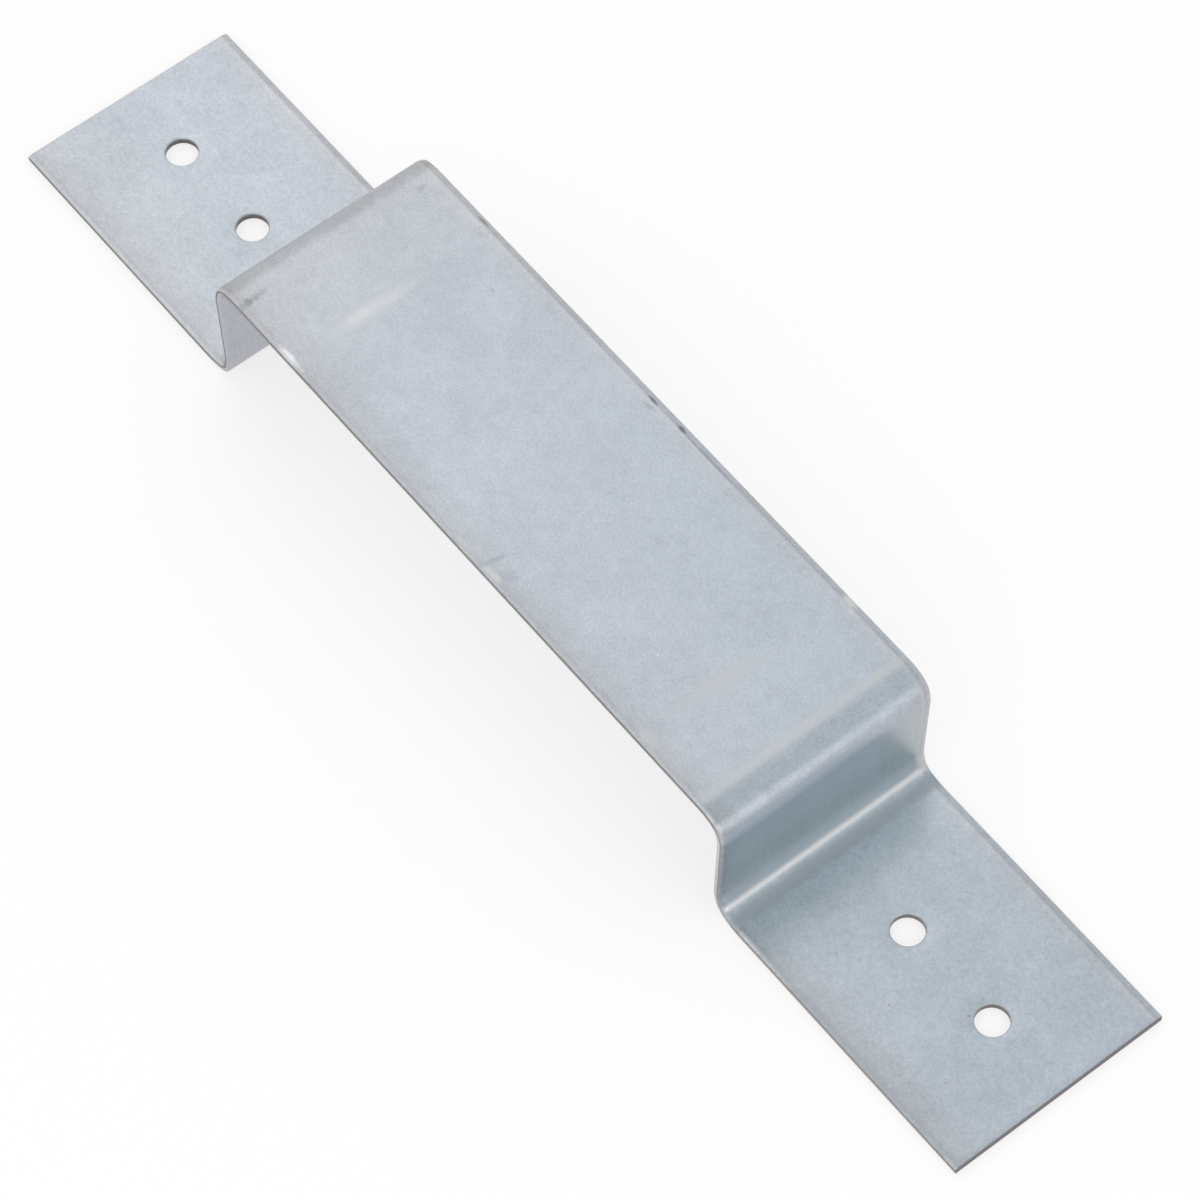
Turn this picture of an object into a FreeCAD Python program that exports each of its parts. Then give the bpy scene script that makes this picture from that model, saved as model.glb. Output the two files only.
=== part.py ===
"""Fence panel bracket: one strip of galvanised sheet folded to a hat that straddles a post.

The strip runs along X, its two slit edges face -Y and +Y, and the undersides of the two flanges
lie on Z = 0. All sizes are millimetres and degrees.
"""
import FreeCAD
import Part
import enum
import math
import os
import Sketcher

NODE = "bracket"

# Sizes, each one a cell of the sheet "Sizes".
SIZES = {
    # strip
    "strip_width": 40.0,
    "sheet_gauge": 1.4,
    # hat, measured on the outer face between the corners the straight stretches would meet in
    "top_length": 125.8,
    "hat_height": 26.8,
    "leg_lean": 2.3,
    "top_fold_inner_radius": 4.3,
    "foot_fold_inner_radius": 3.6,
    "flange_length": 54.6,
    # rolled-over corner that the slitting knives leave on the outer face, and the duller one below
    "slit_roll_width": 1.1,
    "slit_roll_depth": 0.25,
    "slit_lower_radius": 0.2,
    # rolled-over corner that the guillotine leaves on the outer face at both ends
    "shear_roll_radius": 0.2,
    # punched holes
    "hole_diameter": 5.4,
    "hole_pitch": 19.3,
    "hole_end_distance": 15.1,
    "punch_roll_radius": 0.25,
    "punch_smooth_depth": 0.75,
    "punch_break_width": 0.08,
}

# Distance below which two places count as the same.
NEAR = 0.001

# Clearance by which the punch runs past both faces of the sheet.
PUNCH_CLEARANCE = 1.0

# Edges of the fold path, from the top to the flange.
PATH_EDGES = ["Edge1", "Edge2", "Edge3", "Edge4", "Edge5"]


class Spot(enum.IntEnum):
    """Points of a piece of a sketch."""

    START = 1
    END = 2
    CENTRE = 3


class Guide(enum.IntEnum):
    """Lines that a sketch has besides its own pieces."""

    HORIZONTAL_AXIS = -1
    VERTICAL_AXIS = -2
    LINKED_EDGE = -3


ORIGIN_POINT = (Guide.HORIZONTAL_AXIS, Spot.START)


def vector(x, y):
    """Return a point of a sketch plane."""
    return FreeCAD.Vector(x, y, 0.0)


def line(start, end):
    """Return a straight piece of a sketch from start to end."""
    return Part.LineSegment(vector(*start), vector(*end))


def arc(centre, radius, first, last):
    """Return an arc of a sketch, anticlockwise from the first angle to the last, in degrees."""
    circle = Part.Circle(vector(*centre), FreeCAD.Vector(0.0, 0.0, 1.0), radius)
    return Part.ArcOfCircle(circle, math.radians(first), math.radians(last))


def add_sizes(document):
    """Write every size to its own cell of a spreadsheet, with its name as the alias."""
    sheet = document.addObject("Spreadsheet::Sheet", "Sizes")
    for row, (name, value) in enumerate(SIZES.items(), start=1):
        sheet.set(f"A{row}", name)
        sheet.set(f"B{row}", str(value))
        sheet.setAlias(f"B{row}", name)
    document.recompute()
    return sheet


def origin_plane(body, role):
    """Return the plane of the body's own origin that has the role."""
    return next(part for part in body.Origin.OriginFeatures if part.Role == role)


def add_sketch(body, name, role):
    """Add an empty sketch on one of the body's own planes."""
    sketch = body.newObject("Sketcher::SketchObject", name)
    sketch.AttachmentSupport = [(origin_plane(body, role), "")]
    sketch.MapMode = "FlatFace"
    return sketch


def bind(sketch, name, kind, arguments, start_value, expression):
    """Add a named dimension to a sketch and tie it to the sheet of sizes."""
    index = sketch.addConstraint(Sketcher.Constraint(kind, *arguments, start_value))
    sketch.renameConstraint(index, name)
    sketch.setExpression(f"Constraints.{name}", expression)


def add_path(body):
    """Draw half of the fold path: the outer face from the middle of the top to the flange's end."""
    size = SIZES
    lean = size["leg_lean"]
    height = size["hat_height"]
    gauge = size["sheet_gauge"]
    outer = size["top_fold_inner_radius"] + gauge
    inner = size["foot_fold_inner_radius"]
    tangent = math.tan(math.radians(45.0 + lean / 2.0))
    corner = size["top_length"] / 2.0
    foot = corner - (height - gauge) * math.tan(math.radians(lean))
    end = foot + size["flange_length"]
    fold_start = corner - outer * tangent
    fold_end = foot + inner * tangent

    sketch = add_sketch(body, "FoldPath", "XZ_Plane")
    top_fold = arc((fold_start, height - outer), outer, -lean, 90.0)
    foot_fold = arc((fold_end, gauge + inner), inner, 180.0 - lean, 270.0)
    top, upper, leg, lower, flange = sketch.addGeometry(
        [
            line((0.0, height), (fold_start, height)),
            top_fold,
            line(
                (top_fold.StartPoint.x, top_fold.StartPoint.y),
                (foot_fold.StartPoint.x, foot_fold.StartPoint.y),
            ),
            foot_fold,
            line((fold_end, gauge), (end, gauge)),
        ],
        False,
    )
    top_corner, foot_corner = sketch.addGeometry(
        [Part.Point(vector(corner, height)), Part.Point(vector(foot, gauge))], True
    )
    sketch.addConstraint(
        [
            Sketcher.Constraint("PointOnObject", top, Spot.START, Guide.VERTICAL_AXIS),
            Sketcher.Constraint("Horizontal", top),
            Sketcher.Constraint("Horizontal", flange),
            Sketcher.Constraint("Tangent", top, Spot.END, upper, Spot.END),
            Sketcher.Constraint("Tangent", upper, Spot.START, leg, Spot.START),
            Sketcher.Constraint("Tangent", leg, Spot.END, lower, Spot.START),
            Sketcher.Constraint("Tangent", lower, Spot.END, flange, Spot.START),
            Sketcher.Constraint("PointOnObject", top_corner, Spot.START, top),
            Sketcher.Constraint("PointOnObject", top_corner, Spot.START, leg),
            Sketcher.Constraint("PointOnObject", foot_corner, Spot.START, leg),
            Sketcher.Constraint("PointOnObject", foot_corner, Spot.START, flange),
        ]
    )
    bind(sketch, "height", "DistanceY", (*ORIGIN_POINT, top, Spot.START), height, "Sizes.hat_height")
    bind(sketch, "gauge", "DistanceY", (*ORIGIN_POINT, flange, Spot.END), gauge, "Sizes.sheet_gauge")
    bind(
        sketch,
        "outer_radius",
        "Radius",
        (upper,),
        outer,
        "Sizes.top_fold_inner_radius + Sizes.sheet_gauge",
    )
    bind(sketch, "inner_radius", "Radius", (lower,), inner, "Sizes.foot_fold_inner_radius")
    bind(
        sketch,
        "leg_direction",
        "Angle",
        (leg,),
        -math.radians(90.0 + lean),
        "-(90 + Sizes.leg_lean) * 1 deg",
    )
    bind(
        sketch,
        "half_top",
        "DistanceX",
        (*ORIGIN_POINT, top_corner, Spot.START),
        corner,
        "Sizes.top_length / 2",
    )
    bind(
        sketch,
        "flange",
        "DistanceX",
        (foot_corner, Spot.START, flange, Spot.END),
        size["flange_length"],
        "Sizes.flange_length",
    )
    return sketch


def add_section(body):
    """Draw the strip's cross-section in the middle of the top, with its slit edges."""
    size = SIZES
    half = size["strip_width"] / 2.0
    upper = size["hat_height"]
    under = upper - size["sheet_gauge"]
    width = size["slit_roll_width"]
    depth = size["slit_roll_depth"]
    low = size["slit_lower_radius"]
    roll = (width**2 + depth**2) / (2.0 * depth)
    slope = math.degrees(math.asin(width / roll))

    sketch = add_sketch(body, "StripSection", "YZ_Plane")
    face, roll_right, edge_right, low_right, back, low_left, edge_left, roll_left = sketch.addGeometry(
        [
            line((width - half, upper), (half - width, upper)),
            arc((half - width, upper - roll), roll, 90.0 - slope, 90.0),
            line((half, upper - depth), (half, under + low)),
            arc((half - low, under + low), low, 270.0, 360.0),
            line((half - low, under), (low - half, under)),
            arc((low - half, under + low), low, 180.0, 270.0),
            line((-half, under + low), (-half, upper - depth)),
            arc((width - half, upper - roll), roll, 90.0, 90.0 + slope),
        ],
        False,
    )
    sketch.addConstraint(
        [
            Sketcher.Constraint("Horizontal", back),
            Sketcher.Constraint("Vertical", edge_right),
            Sketcher.Constraint("Vertical", edge_left),
            Sketcher.Constraint("Tangent", face, Spot.END, roll_right, Spot.END),
            Sketcher.Constraint("Tangent", face, Spot.START, roll_left, Spot.START),
            Sketcher.Constraint("Coincident", roll_right, Spot.START, edge_right, Spot.START),
            Sketcher.Constraint("Coincident", roll_left, Spot.END, edge_left, Spot.END),
            Sketcher.Constraint("Tangent", edge_right, Spot.END, low_right, Spot.END),
            Sketcher.Constraint("Tangent", low_right, Spot.START, back, Spot.START),
            Sketcher.Constraint("Tangent", back, Spot.END, low_left, Spot.END),
            Sketcher.Constraint("Tangent", low_left, Spot.START, edge_left, Spot.START),
            Sketcher.Constraint("Symmetric", face, Spot.START, face, Spot.END, Guide.VERTICAL_AXIS),
            Sketcher.Constraint(
                "Symmetric", edge_left, Spot.END, edge_right, Spot.START, Guide.VERTICAL_AXIS
            ),
            Sketcher.Constraint("Equal", low_left, low_right),
        ]
    )
    bind(sketch, "height", "DistanceY", (*ORIGIN_POINT, face, Spot.START), upper, "Sizes.hat_height")
    bind(
        sketch,
        "gauge",
        "DistanceY",
        (back, Spot.START, face, Spot.END),
        size["sheet_gauge"],
        "Sizes.sheet_gauge",
    )
    bind(
        sketch,
        "width",
        "DistanceX",
        (edge_left, Spot.END, edge_right, Spot.START),
        size["strip_width"],
        "Sizes.strip_width",
    )
    bind(
        sketch,
        "roll_width",
        "DistanceX",
        (face, Spot.END, edge_right, Spot.START),
        width,
        "Sizes.slit_roll_width",
    )
    bind(
        sketch,
        "roll_depth",
        "DistanceY",
        (edge_right, Spot.START, face, Spot.END),
        depth,
        "Sizes.slit_roll_depth",
    )
    bind(sketch, "lower_radius", "Radius", (low_right,), low, "Sizes.slit_lower_radius")
    return sketch


def add_punch(body):
    """Draw half of the outer hole's outline: rolled rim, smooth sheared wall, wider torn wall."""
    size = SIZES
    radius = size["hole_diameter"] / 2.0
    gauge = size["sheet_gauge"]
    rim = size["punch_roll_radius"]
    smooth = size["punch_smooth_depth"]
    torn = size["punch_break_width"]
    fall = (size["hat_height"] - gauge) * math.tan(math.radians(size["leg_lean"]))
    flange_end = size["top_length"] / 2.0 - fall + size["flange_length"]
    middle = flange_end - size["hole_end_distance"]
    over = gauge + PUNCH_CLEARANCE
    below = -PUNCH_CLEARANCE

    sketch = add_sketch(body, "PunchOutline", "XZ_Plane")
    sketch.addExternal("FoldPath", PATH_EDGES[-1])
    lid, drop, roll, wall, tear, skirt, base, spine = sketch.addGeometry(
        [
            line((middle, over), (middle + radius + rim, over)),
            line((middle + radius + rim, over), (middle + radius + rim, gauge)),
            arc((middle + radius + rim, gauge - rim), rim, 90.0, 180.0),
            line((middle + radius, gauge - rim), (middle + radius, gauge - rim - smooth)),
            line((middle + radius, gauge - rim - smooth), (middle + radius + torn, 0.0)),
            line((middle + radius + torn, 0.0), (middle + radius + torn, below)),
            line((middle + radius + torn, below), (middle, below)),
            line((middle, below), (middle, over)),
        ],
        False,
    )
    axis = sketch.addGeometry(line((middle, below), (middle, over)), True)
    sketch.addConstraint(
        [
            Sketcher.Constraint("Coincident", lid, Spot.END, drop, Spot.START),
            Sketcher.Constraint("Coincident", drop, Spot.END, roll, Spot.START),
            Sketcher.Constraint("Tangent", roll, Spot.END, wall, Spot.START),
            Sketcher.Constraint("Coincident", wall, Spot.END, tear, Spot.START),
            Sketcher.Constraint("Coincident", tear, Spot.END, skirt, Spot.START),
            Sketcher.Constraint("Coincident", skirt, Spot.END, base, Spot.START),
            Sketcher.Constraint("Coincident", base, Spot.END, spine, Spot.START),
            Sketcher.Constraint("Coincident", spine, Spot.END, lid, Spot.START),
            Sketcher.Constraint("Coincident", spine, Spot.START, axis, Spot.START),
            Sketcher.Constraint("Coincident", spine, Spot.END, axis, Spot.END),
            Sketcher.Constraint("Horizontal", lid),
            Sketcher.Constraint("Horizontal", base),
            Sketcher.Constraint("Vertical", drop),
            Sketcher.Constraint("Vertical", wall),
            Sketcher.Constraint("Vertical", skirt),
            Sketcher.Constraint("Vertical", spine),
            Sketcher.Constraint("Vertical", roll, Spot.START, roll, Spot.CENTRE),
            Sketcher.Constraint("PointOnObject", tear, Spot.END, Guide.HORIZONTAL_AXIS),
            Sketcher.Constraint("PointOnObject", drop, Spot.END, Guide.LINKED_EDGE),
        ]
    )
    bind(
        sketch,
        "end_distance",
        "DistanceX",
        (lid, Spot.START, Guide.LINKED_EDGE, Spot.END),
        size["hole_end_distance"],
        "Sizes.hole_end_distance",
    )
    bind(
        sketch,
        "radius",
        "DistanceX",
        (lid, Spot.START, wall, Spot.START),
        radius,
        "Sizes.hole_diameter / 2",
    )
    bind(sketch, "rim_radius", "Radius", (roll,), rim, "Sizes.punch_roll_radius")
    bind(
        sketch,
        "smooth",
        "DistanceY",
        (wall, Spot.END, wall, Spot.START),
        smooth,
        "Sizes.punch_smooth_depth",
    )
    bind(
        sketch,
        "torn",
        "DistanceX",
        (tear, Spot.START, tear, Spot.END),
        torn,
        "Sizes.punch_break_width",
    )
    for piece in (drop, skirt):
        sketch.addConstraint(
            Sketcher.Constraint("DistanceY", piece, Spot.END, piece, Spot.START, PUNCH_CLEARANCE)
        )
    return sketch


def end_edges(shape):
    """Return the names of the edges where the outer face meets the sheared end."""
    far = shape.BoundBox.XMax
    middle = SIZES["sheet_gauge"] / 2.0
    names = []
    for number, edge in enumerate(shape.Edges, start=1):
        box = edge.BoundBox
        on_end = abs(box.XMin - far) < NEAR and abs(box.XMax - far) < NEAR
        if on_end and box.ZMin > middle and box.YLength > NEAR:
            names.append(f"Edge{number}")
    return names


def build_bracket(document):
    """Sweep, punch and mirror the strip, and return its body."""
    body = document.addObject("PartDesign::Body", "Bracket")
    body.Label = NODE
    document.recompute()

    path = add_path(body)
    section = add_section(body)
    document.recompute()

    strip = body.newObject("PartDesign::AdditivePipe", "FoldedStrip")
    strip.Profile = (section, [""])
    strip.Spine = (path, PATH_EDGES)
    strip.Mode = "Standard"
    document.recompute()

    ends = body.newObject("PartDesign::Fillet", "ShearedEnd")
    ends.Base = (strip, end_edges(strip.Shape))
    ends.setExpression("Radius", "Sizes.shear_roll_radius")
    document.recompute()

    outline = add_punch(body)
    document.recompute()
    hole = body.newObject("PartDesign::Groove", "PunchedHole")
    hole.Profile = (outline, [""])
    hole.ReferenceAxis = (outline, ["Axis0"])
    hole.Angle = 360.0
    document.recompute()

    row = body.newObject("PartDesign::LinearPattern", "HoleRow")
    row.Originals = [hole]
    row.Direction = (origin_plane(body, "X_Axis"), [""])
    row.Reversed = True
    row.Occurrences = 2
    row.setExpression("Length", "Sizes.hole_pitch")
    body.Tip = row
    document.recompute()

    whole = body.newObject("PartDesign::Mirrored", "WholeBracket")
    whole.TransformMode = "Whole shape"
    whole.MirrorPlane = (origin_plane(body, "YZ_Plane"), [""])
    whole.Refine = True
    body.Tip = whole
    document.recompute()
    return body


def check(document, body):
    """Stop where an object is in error or the body isn't one sound solid."""
    for part in document.Objects:
        if "Invalid" in part.State or "Error" in part.State:
            raise RuntimeError(f"{part.Name}: {part.State}")
    shape = body.Shape
    if shape.isNull() or not shape.isValid() or len(shape.Solids) != 1:
        raise RuntimeError(f"{body.Label} is not one sound solid")


def main():
    """Build the bracket and write its shape."""
    document = FreeCAD.newDocument("FencePanelBracket")
    add_sizes(document)
    body = build_bracket(document)
    check(document, body)
    os.makedirs("parts", exist_ok=True)
    body.Shape.exportStep(os.path.join("parts", f"{body.Label}.step"))


main()
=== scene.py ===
"""Fence panel bracket: one strip of galvanised sheet folded to a hat, with two screw holes in each flange.

The strip runs along X, its slit edges face -Y and +Y, and the undersides of the flanges lie on Z = 0.
Everything is in metres; MM turns a size in millimetres into metres.
"""
import logging
import math
from dataclasses import dataclass
from enum import Enum

import bmesh
import bpy
from mathutils import Matrix, Vector


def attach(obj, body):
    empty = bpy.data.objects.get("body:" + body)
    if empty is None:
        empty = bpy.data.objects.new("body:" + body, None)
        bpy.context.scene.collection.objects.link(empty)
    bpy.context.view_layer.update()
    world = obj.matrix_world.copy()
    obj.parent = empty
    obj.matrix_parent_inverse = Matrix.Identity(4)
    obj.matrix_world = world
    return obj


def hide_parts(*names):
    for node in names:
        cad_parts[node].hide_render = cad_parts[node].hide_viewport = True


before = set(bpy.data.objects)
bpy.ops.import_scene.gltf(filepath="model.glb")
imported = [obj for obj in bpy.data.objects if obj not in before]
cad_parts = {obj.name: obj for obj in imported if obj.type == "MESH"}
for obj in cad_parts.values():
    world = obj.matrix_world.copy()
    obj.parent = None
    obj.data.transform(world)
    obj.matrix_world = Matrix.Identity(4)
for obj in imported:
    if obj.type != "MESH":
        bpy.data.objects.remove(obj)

Ring = list[bmesh.types.BMEdge]
Settings = dict[str, object]
Shades = tuple[tuple[float, float, float], ...]
Socket = bpy.types.NodeSocket
Tree = bpy.types.NodeTree

MM = 0.001
NODE = "bracket"
BODY = "root"
# Points and levels that are nearer than this count as one.
NEAR = 0.001 * MM
# Each arc of a fold is spun in steps of about so many degrees, and in no fewer steps than this.
DEGREES_PER_STEP = 3.5
FEWEST_STEPS = 4
# Faces that meet at more than this angle keep a sharp edge.
CREASE = math.radians(30.0)
# Parts of a face's normal: it looks sideways from the first on, and squarely so from the second on.
SIDEWAYS = 0.7
SQUARE = 0.9995
# A face whose normal points up and outwards by less than this belongs to the underside.
UNDERSIDE = -0.5

log = logging.getLogger("bracket")


class Finish(Enum):
    """Material slots of the strip, in order."""

    OUTER_FACE = 0
    UNDER_FACE = 1
    SHEARED_EDGE = 2
    TORN_EDGE = 3


def linear(code: str) -> tuple[float, float, float, float]:
    """Turn an sRGB hex colour into linear RGBA.

    Args:
        code: Six hex digits with a leading hash.

    Returns:
        The linear colour with an alpha of 1.
    """
    parts = [int(code[start : start + 2], 16) / 255.0 for start in (1, 3, 5)]
    red, green, blue = (
        part / 12.92 if part <= 0.04045 else ((part + 0.055) / 1.055) ** 2.4 for part in parts
    )
    return red, green, blue, 1.0


def add_node(tree: Tree, kind: str, settings: Settings | None = None, **links: Socket) -> bpy.types.Node:
    """Add a node with its settings, values and links.

    Args:
        tree: The node tree that gets the node.
        kind: The node's type name without "ShaderNode".
        settings: Attributes of the node, values of its sockets by name or as input_N, and for a ramp its
            "stops" as pairs of place and colour.
        links: Output sockets to link, by the input's name with underscores for blanks, or input_N by number.

    Returns:
        The new node.
    """
    node = tree.nodes.new("ShaderNode" + kind)
    for name, value in (settings or {}).items():
        if name == "stops":
            while len(node.color_ramp.elements) < len(value):
                node.color_ramp.elements.new(0.5)
            for element, (spot, colour) in zip(node.color_ramp.elements, value):
                element.position = spot
                element.color = (*colour, 1.0)
        elif name.startswith("input_"):
            node.inputs[int(name.removeprefix("input_"))].default_value = value
        elif name in node.inputs:
            node.inputs[name].default_value = value
        else:
            setattr(node, name, value)
    for name, socket in links.items():
        if name.startswith("input_"):
            target = node.inputs[int(name.removeprefix("input_"))]
        else:
            target = node.inputs[name.replace("_", " ")]
        tree.links.new(socket, target)
    return node


def new_material(name: str) -> tuple[bpy.types.Material, Tree]:
    """Make an empty node material.

    Args:
        name: The material's name.

    Returns:
        The material and its node tree, with no nodes.
    """
    material = bpy.data.materials.new(name)
    material.use_nodes = True
    material.node_tree.nodes.clear()
    return material, material.node_tree


# Painted light on the metal, as it changes from place to place: coordinate in millimetres, brightness,
# warmth.
# Across the outer face both slit edges get bands of painted highlight and painted shade, from the light on
# their rolled edges.
PAINTED_LIGHT_ACROSS = (
    (-20.0, 0.95, 1.0), (-19.85, 1.2, 1.0), (-19.7, 1.15, 1.0), (-19.53, 1.02, 0.8),
    (-19.37, 0.89, 0.6), (-19.2, 0.84, 0.5), (-19.0, 0.86, 0.5), (-18.8, 0.9, 0.4),
    (-18.4, 0.92, 0.4), (-17.0, 0.95, 0.3), (-14.0, 1.0, 0.1), (0.0, 1.0, 0.0),
    (16.0, 1.0, 0.0), (17.5, 1.0, 0.2), (18.27, 1.035, 0.4), (18.5, 1.08, 0.6),
    (18.7, 1.06, 0.6), (18.9, 0.965, 0.8), (19.06, 0.9, 0.9), (19.21, 0.98, 1.0),
    (19.37, 1.07, 1.0), (19.53, 1.14, 1.0), (19.7, 1.1, 1.0), (20.0, 1.08, 1.0),
)
# Painted light along the strip: the left end a little brighter and warmer with a painted dark band on its
# upper fold, and painted highlight, paler and cooler, on the right leg and its folds.
PAINTED_LIGHT_ALONG = (
    (-117.0, 1.035, 0.25), (-66.0, 1.035, 0.25), (-62.3, 1.07, 0.6), (-61.4, 1.07, 0.5),
    (-59.9, 0.9, 0.9), (-58.0, 0.99, 0.7), (-56.0, 1.01, 0.5), (-50.0, 1.02, 0.4),
    (-42.0, 1.0, 0.25), (-20.0, 1.0, 0.0), (61.6, 1.0, 0.0), (62.1, 1.04, -0.4),
    (63.0, 1.04, -0.4), (65.5, 1.04, -0.3), (67.5, 1.1, -0.1), (70.1, 1.1, 0.0),
    (73.0, 1.05, 0.0), (76.0, 1.02, 0.0), (84.0, 1.0, 0.0), (117.0, 1.0, 0.0),
)
# Painted light on the cut edges: painted shade darkens them along the left flange and the top, and a painted
# reflection makes them paler down the legs.
PAINTED_LIGHT_ON_CUTS = (
    (-117.0, 0.72, 0.0), (-67.0, 0.72, 0.0), (-64.5, 1.1, -0.5), (-61.0, 1.1, -0.5), (-59.0, 0.76, 0.0),
    (60.5, 0.76, 0.0), (61.6, 1.5, -0.3), (63.2, 1.5, -0.3), (66.0, 0.95, 0.0), (117.0, 0.95, 0.0),
)
# What a warmth of 1 adds to red, green and blue, as a share of each.
WARM_SHARES = (0.03, -0.04, -0.08)
# A ramp holds no colour above 1, so the shades go in divided by this and come out multiplied by it.
HEADROOM = 2.0


def graded(tree: Tree, tint: Socket, coordinate: Socket, shades: Shades) -> Socket:
    """Multiply a tint by a shade that changes along one coordinate.

    Args:
        tree: The node tree.
        tint: The colour to shade.
        coordinate: The coordinate, in metres.
        shades: Places in millimetres with their brightness and warmth.

    Returns:
        The shaded colour.
    """
    first, last = shades[0][0], shades[-1][0]
    stops = []
    for place, brightness, warmth in shades:
        colour = [brightness * (1.0 + share * warmth) / HEADROOM for share in WARM_SHARES]
        stops.append(((place - first) / (last - first), colour))
    ends = {"From Min": first * MM, "From Max": last * MM}
    span = add_node(tree, "MapRange", ends, Value=coordinate).outputs[0]
    low = add_node(tree, "ValToRGB", {"stops": stops}, Fac=span).outputs[0]
    shade = add_node(tree, "VectorMath", {"operation": "SCALE", "Scale": HEADROOM}, Vector=low).outputs[0]
    return add_node(tree, "VectorMath", {"operation": "MULTIPLY"}, input_0=tint, input_1=shade).outputs[0]


# A mark is full inside the first share of its half size and gone outside the second.
MARK_FULL = 0.25
MARK_GONE = 1.05


@dataclass(frozen=True)
class Mark:
    """A soft-edged patch of colour on the outer face, a flat ball broken up by the grain: traces of tools and
    handling, and painted highlights and shade.

    Sizes are millimetres: its middle, half its length, width and height; the turn is in degrees from +X.
    The more ragged it is, the more the grain breaks up its edge.
    """

    tint: str
    x: float
    y: float
    z: float
    length: float
    width: float
    turn: float = 0.0
    strength: float = 1.0
    height: float = 1.0
    ragged: float = 2.5

    def lay(self, tree: Tree, place: Socket, grain: Socket, tint: Socket) -> Socket:
        """Lay the mark over a tint.

        Args:
            tree: The node tree.
            place: The coordinates on the object.
            grain: The metal's grain, 0.5 on average.
            tint: The colour under the mark.

        Returns:
            The colour with the mark on it.
        """
        local = add_node(
            tree,
            "Mapping",
            {
                "vector_type": "TEXTURE",
                "Location": (self.x * MM, self.y * MM, self.z * MM),
                "Rotation": (0.0, 0.0, math.radians(self.turn)),
                "Scale": (self.length * MM, self.width * MM, self.height * MM),
            },
            Vector=place,
        ).outputs[0]
        far = add_node(tree, "VectorMath", {"operation": "LENGTH"}, Vector=local).outputs["Value"]
        broken = add_node(
            tree,
            "Math",
            {"operation": "MULTIPLY_ADD", "input_1": self.ragged},
            input_0=grain,
            input_2=far,
        ).outputs[0]
        mask = add_node(
            tree,
            "MapRange",
            {
                "interpolation_type": "SMOOTHSTEP",
                "From Min": MARK_FULL + self.ragged / 2.0,
                "From Max": MARK_GONE + self.ragged / 2.0,
                "To Min": self.strength,
                "To Max": 0.0,
            },
            Value=broken,
        ).outputs[0]
        return add_node(
            tree,
            "Mix",
            {"data_type": "RGBA", "input_7": linear(self.tint)},
            input_0=mask,
            input_6=tint,
        ).outputs[2]


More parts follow.
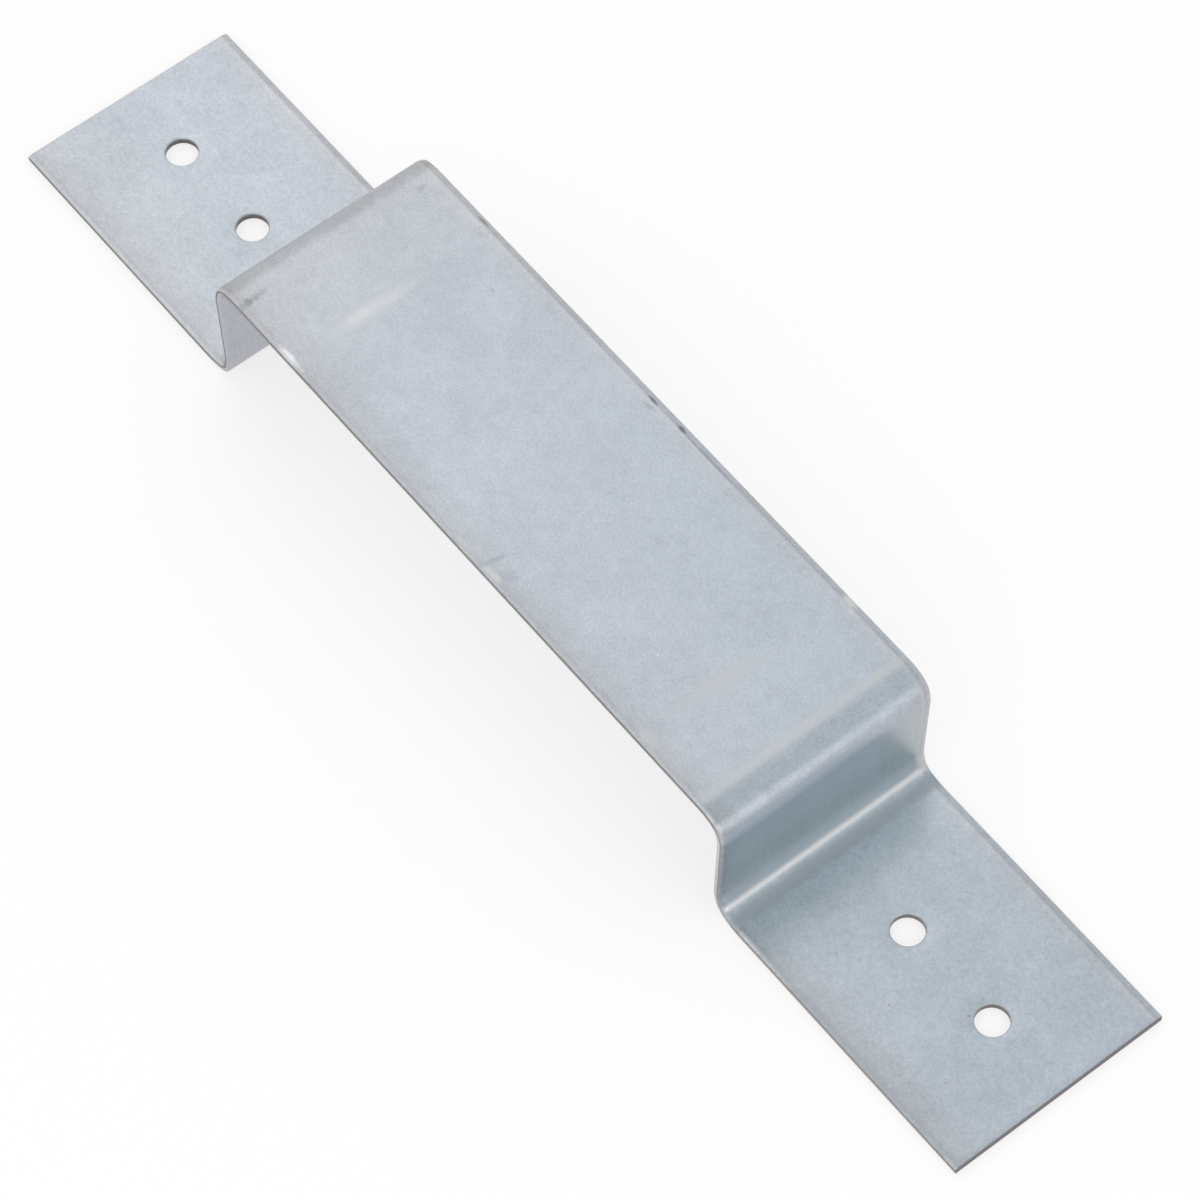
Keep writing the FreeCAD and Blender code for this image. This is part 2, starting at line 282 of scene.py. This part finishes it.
# Heights of the outer face above the flanges' undersides, in millimetres, and the tints that marks share.
TOP = 26.8
FLANGE = 1.4
PAINTED_HIGHLIGHT = "#D2D9DF"
SMUDGE = "#98999D"
FAINT = "#ABAFB8"
NICK = "#828286"
MARKS_AND_PAINTED_LIGHT = (
    # On the foot fold: a painted highlight above the nose, a whitish line on the nose, partly rubbed by the
    # press tool and partly painted highlight, and below it painted shade, the leg's dark reflection.
    Mark(PAINTED_HIGHLIGHT, 62.4, 0.0, 4.4, 60.0, 1.6, turn=90.0, strength=0.9, height=2.3, ragged=0.8),
    Mark("#A6ADB4", 65.0, 0.0, 1.7, 60.0, 2.0, turn=90.0, height=1.6, ragged=0.6),
    Mark("#D2D2D4", 62.85, 0.0, 2.75, 60.0, 0.9, turn=90.0, height=0.9, ragged=1.0),
    # A painted highlight on the upper fold above the right leg, a painted greenish reflection down the leg,
    # and a thin line that the press tool has drawn where that fold starts.
    Mark("#D4DCE4", 62.4, -10.0, 22.7, 26.0, 3.0, turn=90.0, strength=0.9, height=1.6, ragged=0.8),
    Mark("#C8DCD3", 62.3, -3.0, 12.5, 60.0, 3.0, turn=90.0, strength=0.35, height=13.0, ragged=0.5),
    Mark("#C6C8CB", 56.7, 0.0, TOP, 34.0, 1.2, turn=90.0, strength=0.8),
    # Streaks and smudges on the top.
    Mark("#CACDD2", -42.65, -3.8, TOP, 10.0, 1.8, turn=90.0),
    Mark("#D6D5D5", -42.9, -6.3, TOP, 4.4, 1.0, turn=90.0, strength=0.5),
    Mark("#C5C7CB", 42.9, -4.4, TOP, 8.5, 1.8, turn=88.0, strength=0.85),
    Mark(SMUDGE, -55.5, -18.1, TOP, 2.0, 1.2, turn=85.0),
    Mark(FAINT, -55.75, -15.4, TOP, 1.3, 0.7, turn=98.0),
    Mark(FAINT, -56.0, 15.9, TOP, 1.6, 0.7, turn=90.0, strength=0.8),
    Mark("#AAB0BA", 5.2, -17.2, TOP, 3.0, 0.8, turn=75.0, strength=0.9),
    Mark("#B0B3BF", 9.0, -17.6, TOP, 2.2, 1.7, turn=60.0, strength=0.8),
    Mark("#CACBCE", 7.3, -19.2, TOP, 2.6, 0.8, strength=0.9),
    Mark("#C6C6C8", 0.1, -19.2, TOP, 3.8, 0.6, strength=0.6),
    Mark("#C2C2C5", 43.4, -18.7, TOP, 3.0, 1.3, strength=0.9),
    Mark("#E6E6E9", -43.4, -19.45, TOP, 3.6, 0.85, ragged=1.5),
    Mark("#E4E3E2", 44.2, 19.5, TOP, 1.9, 0.9, ragged=1.2),
    Mark("#FFFFFF", 33.45, -8.62, TOP, 0.16, 0.16),
    Mark(FAINT, -33.5, 12.4, TOP, 0.3, 0.25, strength=0.8),
    # Painted shade on the right leg's -Y edge and along both edges of the right flange, and a painted
    # highlight along the left flange's -Y edge.
    Mark("#9DA4AB", 62.4, -19.8, 13.0, 3.0, 0.9, strength=0.5, height=18.0),
    Mark("#DADBDF", -91.0, -19.82, FLANGE, 38.0, 0.42, strength=0.9),
    Mark("#ACB1B7", 93.0, -19.5, FLANGE, 36.0, 1.2, strength=0.55),
    Mark("#ACB1B7", 93.0, 19.6, FLANGE, 36.0, 1.0, strength=0.3),
    # Nicks and a dull line on the top's +Y edge.
    Mark(NICK, -44.9, 19.3, TOP, 1.6, 0.35, strength=0.75, ragged=1.0),
    Mark(NICK, -2.3, 19.05, TOP, 1.5, 0.35, strength=0.9, ragged=1.0),
    Mark(NICK, 4.6, 19.15, TOP, 1.4, 0.45, ragged=1.0),
    Mark("#8F929D", 12.0, 18.95, TOP, 9.0, 0.3, strength=0.55, ragged=0.8),
    Mark(FAINT, -1.8, 17.9, TOP, 1.7, 0.5, turn=10.0, strength=0.8),
    # Specks on the flanges.
    Mark(NICK, 98.7, -2.2, FLANGE, 0.26, 0.26, strength=0.7),
    Mark(NICK, 104.9, -12.0, FLANGE, 0.24, 0.24, strength=0.6),
    Mark(NICK, 89.9, -10.3, FLANGE, 0.26, 0.26, strength=0.6),
    Mark(FAINT, -79.1, -5.0, FLANGE, 1.2, 0.4, turn=90.0, strength=0.5),
)


@dataclass(frozen=True)
class GalvanisedFace:
    """Pre-galvanised, skin-passed strip.

    The eye sees a pale blue-grey metal with a satin gloss, a fine mottled grain and no large spangle. Along
    the slit edges of the outer face lie bands of painted highlight and painted shade, painted light changes
    it along the strip, and rubs, smudges and more painted highlight and shade lie on it. The tint goes from
    dull to bright between the two mottle levels, which count the grain
    with its shares of patches and speckle. Each pair of line levels says where the lines on the legs end
    and where they are full.
    """

    name: str = "galvanised_face"
    dull: str = "#ADB4BC"
    bright: str = "#CCD3DB"
    grain_size: float = 2.4 * MM
    patch_size: float = 14.0 * MM
    patch_share: float = 0.6
    speckle_size: float = 0.4 * MM
    speckle_share: float = 1.0
    mottle_levels: tuple[float, float] = (0.8, 1.8)
    line_spacing: float = 0.8 * MM
    line_length: float = 30.0 * MM
    line_contrast: float = 0.7
    line_levels: tuple[tuple[float, float], ...] = ((23.0 * MM, 18.0 * MM), (3.0 * MM, 6.0 * MM))
    band_wander: float = 0.4 * MM
    roughness: tuple[float, float] = (0.31, 0.37)
    bump: float = 0.004 * MM
    painted_edge_bands: Shades = ()
    marks: tuple[Mark, ...] = ()

    def drawn(self, tree: Tree, place: Socket, mottle: Socket) -> Socket:
        """Add the faint upright lines that the press tool has drawn on the legs.

        Args:
            tree: The node tree.
            place: The coordinates on the object.
            mottle: The mottled pattern so far.

        Returns:
            The pattern with the lines in it.
        """
        scale = (0.0, 1.0 / self.line_spacing, 1.0 / self.line_length)
        stretched = add_node(tree, "Mapping", {"Scale": scale}, Vector=place).outputs[0]
        noise = add_node(tree, "TexNoise", {"Scale": 1.0, "Detail": 3.0}, Vector=stretched).outputs["Fac"]
        contrast = self.line_contrast
        lines = add_node(
            tree,
            "Math",
            {"operation": "MULTIPLY_ADD", "input_1": contrast, "input_2": -contrast / 2.0},
            input_0=noise,
        ).outputs[0]
        level = add_node(tree, "SeparateXYZ", Vector=place).outputs["Z"]
        for gone, full in self.line_levels:
            mask = add_node(tree, "MapRange", {"From Min": gone, "From Max": full}, Value=level).outputs[0]
            lines = add_node(tree, "Math", {"operation": "MULTIPLY"}, input_0=lines, input_1=mask).outputs[0]
        return add_node(tree, "Math", {"operation": "ADD"}, input_0=mottle, input_1=lines).outputs[0]

    def material(self) -> bpy.types.Material:
        """Build the material of a rolled face.

        Returns:
            The material.
        """
        material, tree = new_material(self.name)
        place = add_node(tree, "TexCoord").outputs["Object"]
        grain = add_node(
            tree,
            "TexNoise",
            {"Scale": 1.0 / self.grain_size, "Detail": 4.0, "Roughness": 0.8},
            Vector=place,
        ).outputs["Fac"]
        mottle = grain
        for size, detail, share in (
            (self.patch_size, 3.0, self.patch_share),
            (self.speckle_size, 1.0, self.speckle_share),
        ):
            pattern = {"Scale": 1.0 / size, "Detail": detail}
            noise = add_node(tree, "TexNoise", pattern, Vector=place).outputs["Fac"]
            mottle = add_node(
                tree,
                "Math",
                {"operation": "MULTIPLY_ADD", "input_1": share},
                input_0=noise,
                input_2=mottle,
            ).outputs[0]
        mottle = self.drawn(tree, place, mottle)
        low, high = self.mottle_levels
        level = add_node(tree, "MapRange", {"From Min": low, "From Max": high}, Value=mottle).outputs[0]
        tint = add_node(
            tree,
            "Mix",
            {"data_type": "RGBA", "input_6": linear(self.dull), "input_7": linear(self.bright)},
            input_0=level,
        ).outputs[2]
        wander = add_node(
            tree,
            "Math",
            {"operation": "MULTIPLY_ADD", "input_1": self.band_wander, "input_2": -self.band_wander / 2.0},
            input_0=grain,
        ).outputs[0]
        uneven = add_node(tree, "VectorMath", {"operation": "ADD"}, input_0=place, input_1=wander).outputs[0]
        spot = add_node(tree, "SeparateXYZ", Vector=uneven)
        # Painted highlight and shade along the slit edges, then painted light along the strip.
        if self.painted_edge_bands:
            tint = graded(tree, tint, spot.outputs["Y"], self.painted_edge_bands)
        tint = graded(tree, tint, spot.outputs["X"], PAINTED_LIGHT_ALONG)
        for mark in self.marks:
            tint = mark.lay(tree, place, grain, tint)
        smooth, rough = self.roughness
        gloss = add_node(tree, "MapRange", {"To Min": smooth, "To Max": rough}, Value=grain).outputs[0]
        relief = add_node(tree, "Bump", {"Strength": 0.5, "Distance": self.bump}, Height=grain).outputs[0]
        shader = add_node(
            tree,
            "BsdfPrincipled",
            {"Metallic": 1.0},
            Base_Color=tint,
            Roughness=gloss,
            Normal=relief,
        ).outputs["BSDF"]
        add_node(tree, "OutputMaterial", Surface=shader)
        return material


@dataclass(frozen=True)
class CutEdge:
    """Slit, cropped and punched edges: bare steel with zinc smeared over it.

    The eye sees a dark, faintly brown line where the blade has sheared the sheet, and a paler, duller band
    where the rest of the gauge has torn.
    """

    name: str
    steel: str
    zinc: str
    roughness: float
    streak_size: float = 0.5 * MM
    bump: float = 0.02 * MM

    def material(self) -> bpy.types.Material:
        """Build the material of a cut edge.

        Returns:
            The material.
        """
        material, tree = new_material(self.name)
        place = add_node(tree, "TexCoord").outputs["Object"]
        streak = add_node(
            tree,
            "TexNoise",
            {"Scale": 1.0 / self.streak_size, "Detail": 3.0},
            Vector=place,
        ).outputs["Fac"]
        tint = add_node(
            tree,
            "Mix",
            {"data_type": "RGBA", "input_6": linear(self.steel), "input_7": linear(self.zinc)},
            input_0=streak,
        ).outputs[2]
        spot = add_node(tree, "SeparateXYZ", Vector=place)
        # Painted shade and painted reflection on the cut edges, by place along the strip.
        tint = graded(tree, tint, spot.outputs["X"], PAINTED_LIGHT_ON_CUTS)
        relief = add_node(tree, "Bump", {"Strength": 0.5, "Distance": self.bump}, Height=streak).outputs[0]
        shader = add_node(
            tree,
            "BsdfPrincipled",
            {"Metallic": 1.0, "Roughness": self.roughness},
            Base_Color=tint,
            Normal=relief,
        ).outputs["BSDF"]
        add_node(tree, "OutputMaterial", Surface=shader)
        return material


FINISHES = {
    Finish.OUTER_FACE: GalvanisedFace(painted_edge_bands=PAINTED_LIGHT_ACROSS, marks=MARKS_AND_PAINTED_LIGHT),
    # The underside is a brighter, bluer copy of the outer finish: painted light that offsets the shade under
    # the top.
    Finish.UNDER_FACE: GalvanisedFace(name="galvanised_underside_painted_light", dull="#BAC5D0", bright="#D6E1EC"),
    Finish.SHEARED_EDGE: CutEdge(name="sheared_edge", steel="#777473", zinc="#9A9A9C", roughness=0.4),
    Finish.TORN_EDGE: CutEdge(name="torn_edge", steel="#B5B5B7", zinc="#D5D6DA", roughness=0.5),
}


@dataclass(frozen=True)
class Fold:
    """A fold made of arcs that meet smoothly, the same from either end.

    Each arc has its radius on the outer face and its turn in degrees.
    """

    arcs: tuple[tuple[float, float], ...]

    @property
    def reach(self) -> float:
        """Measure from the corner, where the straight stretches would meet, to the fold's first point.

        Returns:
            The length along the straight stretch.
        """
        heading = offset = 0.0
        for radius, turn in self.arcs:
            offset += radius * (math.cos(math.radians(heading)) - math.cos(math.radians(heading + turn)))
            heading += turn
        return offset / math.sin(math.radians(heading))


def extruded(
    bm: bmesh.types.BMesh, ring: Ring
) -> tuple[set[bmesh.types.BMVert], Ring, list[bmesh.types.BMFace]]:
    """Extrude a ring of edges, leaving the new one where the old one is.

    Args:
        bm: The mesh being built.
        ring: The edges to extrude.

    Returns:
        The new points, the new ring of edges, and the faces between the two rings.
    """
    made = bmesh.ops.extrude_edge_only(bm, edges=ring)["geom"]
    points = {part for part in made if isinstance(part, bmesh.types.BMVert)}
    edges = [part for part in made if isinstance(part, bmesh.types.BMEdge) and points.issuperset(part.verts)]
    faces = [part for part in made if isinstance(part, bmesh.types.BMFace)]
    return points, edges, faces


def draw_out(bm: bmesh.types.BMesh, ring: Ring, travel: Vector, steps: int) -> Ring:
    """Draw a ring of edges out along a straight stretch.

    Args:
        bm: The mesh being built.
        ring: The edges at the start.
        travel: The whole way.
        steps: How many strips of faces it takes.

    Returns:
        The edges at the end.
    """
    for _ in range(steps):
        points, ring, _ = extruded(bm, ring)
        bmesh.ops.translate(bm, verts=list(points), vec=travel / steps)
    return ring


def bend_round(
    bm: bmesh.types.BMesh, ring: Ring, fold: Fold, place: Vector, heading: Vector, down: bool
) -> Ring:
    """Carry a ring of edges round a fold.

    Args:
        bm: The mesh being built.
        ring: The edges at the start.
        fold: The fold's arcs.
        place: The point of the outer face at the start.
        heading: The direction of travel there.
        down: Whether the fold turns from +X towards -Z, or back.

    Returns:
        The edges at the end.
    """
    axis = Vector((0.0, 1.0, 0.0))
    side = 1.0 if down else -1.0
    for radius, degrees in fold.arcs:
        turn = side * math.radians(degrees)
        centre = place + side * radius * axis.cross(heading)
        geom = [*{point for edge in ring for point in edge.verts}, *ring]
        steps = max(FEWEST_STEPS, round(degrees / DEGREES_PER_STEP))
        made = bmesh.ops.spin(bm, geom=geom, cent=centre, axis=axis, angle=turn, steps=steps)["geom_last"]
        ring = [part for part in made if isinstance(part, bmesh.types.BMEdge)]
        spun = Matrix.Rotation(turn, 3, axis)
        place = centre + spun @ (place - centre)
        heading = spun @ heading
    return ring


def arc_points(
    centre: tuple[float, float], radius: float, first: float, last: float, steps: int
) -> list[tuple[float, float]]:
    """Place points along an arc in a plane.

    Args:
        centre: The arc's centre.
        radius: Its radius.
        first: The angle of the first point, in degrees.
        last: The angle of the last point, in degrees.
        steps: The number of chords.

    Returns:
        The points, both ends included.
    """
    angles = [math.radians(first + (last - first) * index / steps) for index in range(steps + 1)]
    return [(centre[0] + radius * math.cos(turn), centre[1] + radius * math.sin(turn)) for turn in angles]


@dataclass
class FoldedStrip:
    """The bracket's one piece, with the sizes of its sheet, its folds, its cut edges and its holes.

    The mesh has cells of about one size. Each hole sits in a window of as many cells as hole_cells says,
    with a margin in cells that tells the window's own faces from its neighbours.
    """

    width: float = 40.0 * MM
    gauge: float = 1.4 * MM
    top_length: float = 125.8 * MM
    hat_height: float = 26.8 * MM
    leg_lean: float = math.radians(2.3)
    top_fold: Fold = Fold(((8.1 * MM, 21.15), (4.0 * MM, 50.0), (8.1 * MM, 21.15)))
    foot_fold: Fold = Fold(((8.6 * MM, 21.15), (2.2 * MM, 50.0), (8.6 * MM, 21.15)))
    flange_length: float = 54.6 * MM
    slit_roll_width: float = 1.1 * MM
    slit_roll_depth: float = 0.25 * MM
    slit_lower_radius: float = 0.2 * MM
    slit_torn_height: float = 0.75 * MM
    slit_torn_slope: float = 0.03 * MM
    shear_roll_radius: float = 0.2 * MM
    hole_radius: float = 2.7 * MM
    hole_pitch: float = 19.3 * MM
    hole_end_distance: float = 15.1 * MM
    punch_roll_radius: float = 0.25 * MM
    punch_smooth_depth: float = 0.75 * MM
    punch_break_width: float = 0.08 * MM
    cell: float = 1.0 * MM
    hole_cells: int = 10
    hole_margin: float = 0.1
    rounding_steps: int = 5

    @property
    def foot(self) -> float:
        """Distance from the middle to the corner where leg and flange would meet."""
        return self.top_length / 2.0 - (self.hat_height - self.gauge) * math.tan(self.leg_lean)

    @property
    def end(self) -> float:
        """Distance from the middle to the strip's end."""
        return self.foot + self.flange_length

    @property
    def holes(self) -> tuple[float, float]:
        """Distances from the middle to the two holes of a flange."""
        outer = self.end - self.hole_end_distance
        return outer - self.hole_pitch, outer

    def section(self, bm: bmesh.types.BMesh) -> Ring:
        """Lay out the strip's cross-section in the middle of the top.

        Args:
            bm: The mesh being built.

        Returns:
            The ring of edges.
        """
        half = self.width / 2.0
        under = self.hat_height - self.gauge
        width, depth, low = self.slit_roll_width, self.slit_roll_depth, self.slit_lower_radius
        radius = (width**2 + depth**2) / (2.0 * depth)
        slope = math.degrees(math.asin(width / radius))
        steps = self.rounding_steps
        # The +Y side from the face down: rolled corner, sheared wall, torn wall, lower corner.
        side = arc_points((half - width, self.hat_height - radius), radius, 90.0, 90.0 - slope, steps)
        side.append((half, under + self.slit_torn_height))
        side += arc_points((half - self.slit_torn_slope - low, under + low), low, 0.0, -90.0, steps)
        side.append((half - width, under))
        outline = side + [(-y, z) for y, z in reversed(side)]
        points = [bm.verts.new((0.0, y, z)) for y, z in outline]
        ring = [bm.edges.new((first, second)) for first, second in zip(points, points[1:] + points[:1])]
        cells = 2 * round((half - width) / self.cell)
        long_edges = [edge for edge in ring if edge.calc_length() > half]
        bmesh.ops.subdivide_edges(bm, edges=long_edges, cuts=cells - 1)
        return list(bm.edges)

    def sweep(self, bm: bmesh.types.BMesh, ring: Ring) -> Ring:
        """Carry the cross-section from the middle of the top to the end of one flange.

        Args:
            bm: The mesh being built.
            ring: The cross-section.

        Returns:
            The ring of edges at the strip's end.
        """
        forward = Vector((1.0, 0.0, 0.0))
        corner = Vector((self.top_length / 2.0, 0.0, self.hat_height))
        foot = Vector((self.foot, 0.0, self.gauge))
        along_leg = (foot - corner).normalized()
        flat = corner.x - self.top_fold.reach
        ring = draw_out(bm, ring, forward * flat, round(flat / self.cell))
        ring = bend_round(bm, ring, self.top_fold, corner - forward * self.top_fold.reach, forward, True)
        leg = (foot - corner).length - self.top_fold.reach - self.foot_fold.reach
        ring = draw_out(bm, ring, along_leg * leg, round(leg / self.cell))
        ring = bend_round(bm, ring, self.foot_fold, foot - along_leg * self.foot_fold.reach, along_leg, False)
        window = self.hole_cells * self.cell
        stations = [self.foot + self.foot_fold.reach]
        for hole in self.holes:
            stations += [hole - window / 2.0, hole + window / 2.0]
        stations.append(self.end)
        for start, stop in zip(stations, stations[1:]):
            ring = draw_out(bm, ring, forward * (stop - start), round((stop - start) / self.cell))
        return ring

    def crop(self, bm: bmesh.types.BMesh, ring: Ring) -> None:
        """Close the strip's end and round its outer edge as the guillotine does.

        Args:
            bm: The mesh being built.
            ring: The ring of edges at the end.
        """
        bmesh.ops.contextual_create(bm, geom=ring)
        level = self.gauge - self.slit_roll_depth - NEAR
        upper = [edge for edge in ring if all(point.co.z > level for point in edge.verts)]
        bmesh.ops.bevel(
            bm,
            geom=upper,
            offset=self.shear_roll_radius,
            segments=self.rounding_steps,
            profile=0.5,
            affect="EDGES",
            material=-1,
        )

    def punch(self, bm: bmesh.types.BMesh, place: float) -> None:
        """Punch one hole: draw the window of the upper face in to the rim, down the wall and out below.

        Args:
            bm: The mesh being built.
            place: The hole's distance from the middle of the strip.
        """
        centre = Vector((place, 0.0))
        reach = (self.hole_cells / 2.0 + self.hole_margin) * self.cell
        inside = [
            face
            for face in bm.faces
            if all(abs(part) < reach for part in face.calc_center_median().xy - centre)
        ]
        bmesh.ops.delete(bm, geom=inside, context="FACES")
        window = [
            edge
            for edge in bm.edges
            if edge.is_boundary and all(abs(point.co.x - place) < reach for point in edge.verts)
        ]
        ring = [edge for edge in window if min(point.co.z for point in edge.verts) > self.gauge / 2.0]
        halves = (
            max(abs(edge.verts[0].co.x - place) for edge in ring),
            max(abs(edge.verts[0].co.y) for edge in ring),
        )
        rim, radius = self.punch_roll_radius, self.hole_radius
        # Distance from the hole's axis and level, from the rim down; the last row reaches the lower window.
        profile = arc_points((radius + rim, self.gauge - rim), rim, 90.0, 180.0, self.rounding_steps)
        profile.append((radius, self.gauge - rim - self.punch_smooth_depth))
        profile.append((radius + self.punch_break_width, 0.0))
        profile.append((math.inf, 0.0))
        for offset, level in profile:
            points, ring, faces = extruded(bm, ring)
            for point in points:
                away = (point.co.xy - centre).normalized()
                to_window = [half / abs(part) for half, part in zip(halves, away) if abs(part) > NEAR]
                length = min([offset, *to_window])
                point.co = (place + away.x * length, away.y * length, level)
            wall = level < self.gauge - rim - NEAR and math.isfinite(offset)
            finish = Finish.SHEARED_EDGE if wall else Finish.OUTER_FACE
            for face in faces:
                face.material_index = finish.value
        below = {point for edge in window + ring for point in edge.verts}
        bmesh.ops.remove_doubles(bm, verts=list(below), dist=NEAR)

    def dress(self, bm: bmesh.types.BMesh) -> None:
        """Give the underside, the slit edges and the cropped ends their finish; the hole walls have theirs.

        Args:
            bm: The whole mesh, with its normals.
        """
        for face in bm.faces:
            middle, normal = face.calc_center_median(), face.normal
            slit = abs(normal.y) > SIDEWAYS and abs(middle.y) > self.width / 2.0 - self.slit_roll_depth
            cropped = abs(normal.x) > SIDEWAYS and abs(middle.x) > self.end - self.shear_roll_radius / 2.0
            outwards = normal.z + math.copysign(1.0, middle.x) * normal.x
            if slit and abs(normal.y) < SQUARE:
                face.material_index = Finish.TORN_EDGE.value
            elif slit or cropped:
                face.material_index = Finish.SHEARED_EDGE.value
            elif outwards < UNDERSIDE and face.material_index == Finish.OUTER_FACE.value:
                face.material_index = Finish.UNDER_FACE.value

    def build(self) -> bpy.types.Object:
        """Build the whole strip.

        Returns:
            The strip as an object at the origin.
        """
        bm = bmesh.new()
        ring = self.sweep(bm, self.section(bm))
        self.crop(bm, ring)
        for place in self.holes:
            self.punch(bm, place)
        half = bm.verts[:] + bm.edges[:] + bm.faces[:]
        bmesh.ops.mirror(bm, geom=half, matrix=Matrix.Identity(4), merge_dist=NEAR, axis="X")
        bmesh.ops.recalc_face_normals(bm, faces=bm.faces)
        for face in bm.faces:
            face.smooth = True
        for edge in bm.edges:
            edge.smooth = edge.is_manifold and edge.calc_face_angle() < CREASE
        self.dress(bm)
        mesh = bpy.data.meshes.new("folded_strip")
        bm.to_mesh(mesh)
        bm.free()
        for slot in Finish:
            mesh.materials.append(FINISHES[slot].material())
        strip = bpy.data.objects.new("folded_strip", mesh)
        bpy.context.scene.collection.objects.link(strip)
        return strip


@dataclass(frozen=True)
class Lamp:
    """A square soft box that faces the middle of the bracket.

    Its azimuth and height are in degrees, its distance and side in metres.
    """

    name: str
    azimuth: float
    height: float
    distance: float
    side: float
    radiance: float
    colour: str = "#FFF2F1"

    def build(self) -> None:
        """Hang the lamp in the studio."""
        light = bpy.data.lights.new(self.name, "AREA")
        light.shape = "SQUARE"
        light.size = self.side
        # The power at which a square lamp of this side has the wanted radiance.
        light.energy = self.radiance * self.side**2 * math.pi
        light.color = linear(self.colour)[:3]
        lamp = bpy.data.objects.new(self.name, light)
        turn, rise = math.radians(self.azimuth), math.radians(self.height)
        away = Vector((math.cos(turn) * math.cos(rise), math.sin(turn) * math.cos(rise), math.sin(rise)))
        lamp.location = away * self.distance
        lamp.rotation_euler = away.to_track_quat("Z", "Y").to_euler()
        bpy.context.scene.collection.objects.link(lamp)


@dataclass
class Studio:
    """Pale floor, soft light and the camera at the photograph's viewing angle.

    The floor glows to white for the camera, and a little less and warmer for the metal that mirrors it.
    """

    floor_side: float = 6.0
    floor_gap: float = 0.05 * MM
    floor_tint: str = "#A09C9C"
    seen_tint: str = "#FFFFFF"
    seen_glow: float = 0.70
    mirror_tint: str = "#FFF8F7"
    mirror_glow: float = 0.53
    fill: str = "#F8FEFF"
    fill_strength: float = 0.785
    camera_place: tuple[float, float, float] = (0.353995, -0.263069, 0.715071)
    camera_aim: tuple[float, float, float] = (0.007616, 0.000489, 0.0)
    camera_roll: float = math.radians(-1.3293)
    lens_mm: float = 162.213
    sensor_mm: float = 36.0
    lamps: tuple[Lamp, ...] = (
        Lamp("far_soft_box", 165.0, 55.0, 1.8, 1.1, 0.50),
        Lamp("near_soft_box", 300.0, 55.0, 1.8, 1.1, 0.34),
        Lamp("low_right_box", 0.0, 20.0, 1.8, 1.1, 0.80),
        Lamp("low_near_box", 300.0, 20.0, 1.8, 1.1, 0.27),
        Lamp("low_left_box", 225.0, 20.0, 1.8, 1.1, 0.245),
        Lamp("low_far_box", 170.0, 20.0, 1.8, 1.1, 0.18),
    )

    def floor_paint(self) -> bpy.types.Material:
        """Build the floor's material.

        Returns:
            The material.
        """
        material, tree = new_material("white_floor")
        surface = add_node(tree, "BsdfDiffuse", {"Color": linear(self.floor_tint)}).outputs[0]
        path = add_node(tree, "LightPath").outputs
        mirrored = add_node(
            tree,
            "Math",
            {"operation": "MAXIMUM"},
            input_0=path["Is Glossy Ray"],
            input_1=path["Is Transmission Ray"],
        ).outputs[0]
        for ray, tint, strength in (
            (path["Is Camera Ray"], self.seen_tint, self.seen_glow),
            (mirrored, self.mirror_tint, self.mirror_glow),
        ):
            dimmed = {"operation": "MULTIPLY", "input_1": strength}
            glow = add_node(tree, "Math", dimmed, input_0=ray).outputs[0]
            light = add_node(tree, "Emission", {"Color": linear(tint)}, Strength=glow).outputs[0]
            surface = add_node(tree, "AddShader", input_0=surface, input_1=light).outputs[0]
        add_node(tree, "OutputMaterial", Surface=surface)
        return material

    def floor(self) -> None:
        """Lay the floor."""
        bm = bmesh.new()
        bmesh.ops.create_grid(bm, x_segments=1, y_segments=1, size=self.floor_side / 2.0)
        bmesh.ops.translate(bm, verts=bm.verts, vec=Vector((0.0, 0.0, -self.floor_gap)))
        mesh = bpy.data.meshes.new("floor")
        bm.to_mesh(mesh)
        bm.free()
        mesh.materials.append(self.floor_paint())
        floor = bpy.data.objects.new("floor", mesh)
        bpy.context.scene.collection.objects.link(floor)

    def world(self) -> None:
        """Fill the room with plain light."""
        world = bpy.data.worlds.new("room")
        world.use_nodes = True
        tree = world.node_tree
        tree.nodes.clear()
        shader = add_node(tree, "Background", {"Color": linear(self.fill), "Strength": self.fill_strength})
        add_node(tree, "OutputWorld", Surface=shader.outputs["Background"])
        bpy.context.scene.world = world

    def camera(self) -> None:
        """Set the camera up."""
        data = bpy.data.cameras.new("camera")
        data.lens = self.lens_mm
        data.sensor_width = self.sensor_mm
        camera = bpy.data.objects.new("camera", data)
        place = Vector(self.camera_place)
        away = place - Vector(self.camera_aim)
        turn = away.to_track_quat("Z", "Y").to_matrix() @ Matrix.Rotation(self.camera_roll, 3, "Z")
        camera.matrix_world = Matrix.Translation(place) @ turn.to_4x4()
        bpy.context.scene.collection.objects.link(camera)
        bpy.context.scene.camera = camera

    def build(self) -> None:
        """Set the studio up."""
        self.floor()
        self.world()
        self.camera()
        for lamp in self.lamps:
            lamp.build()
        bpy.context.scene.view_settings.view_transform = "Standard"


def main() -> None:
    """Build the bracket and its studio."""
    logging.basicConfig(level=logging.INFO, format="%(name)s: %(message)s")
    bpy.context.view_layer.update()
    studio = Studio()
    studio.build()
    log.info("studio: floor, camera and %d lamps", len(studio.lamps))
    strip = FoldedStrip().build()
    log.info("folded strip: %d faces", len(strip.data.polygons))
    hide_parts(NODE)
    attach(strip, BODY)


if __name__ == "__main__":
    main()
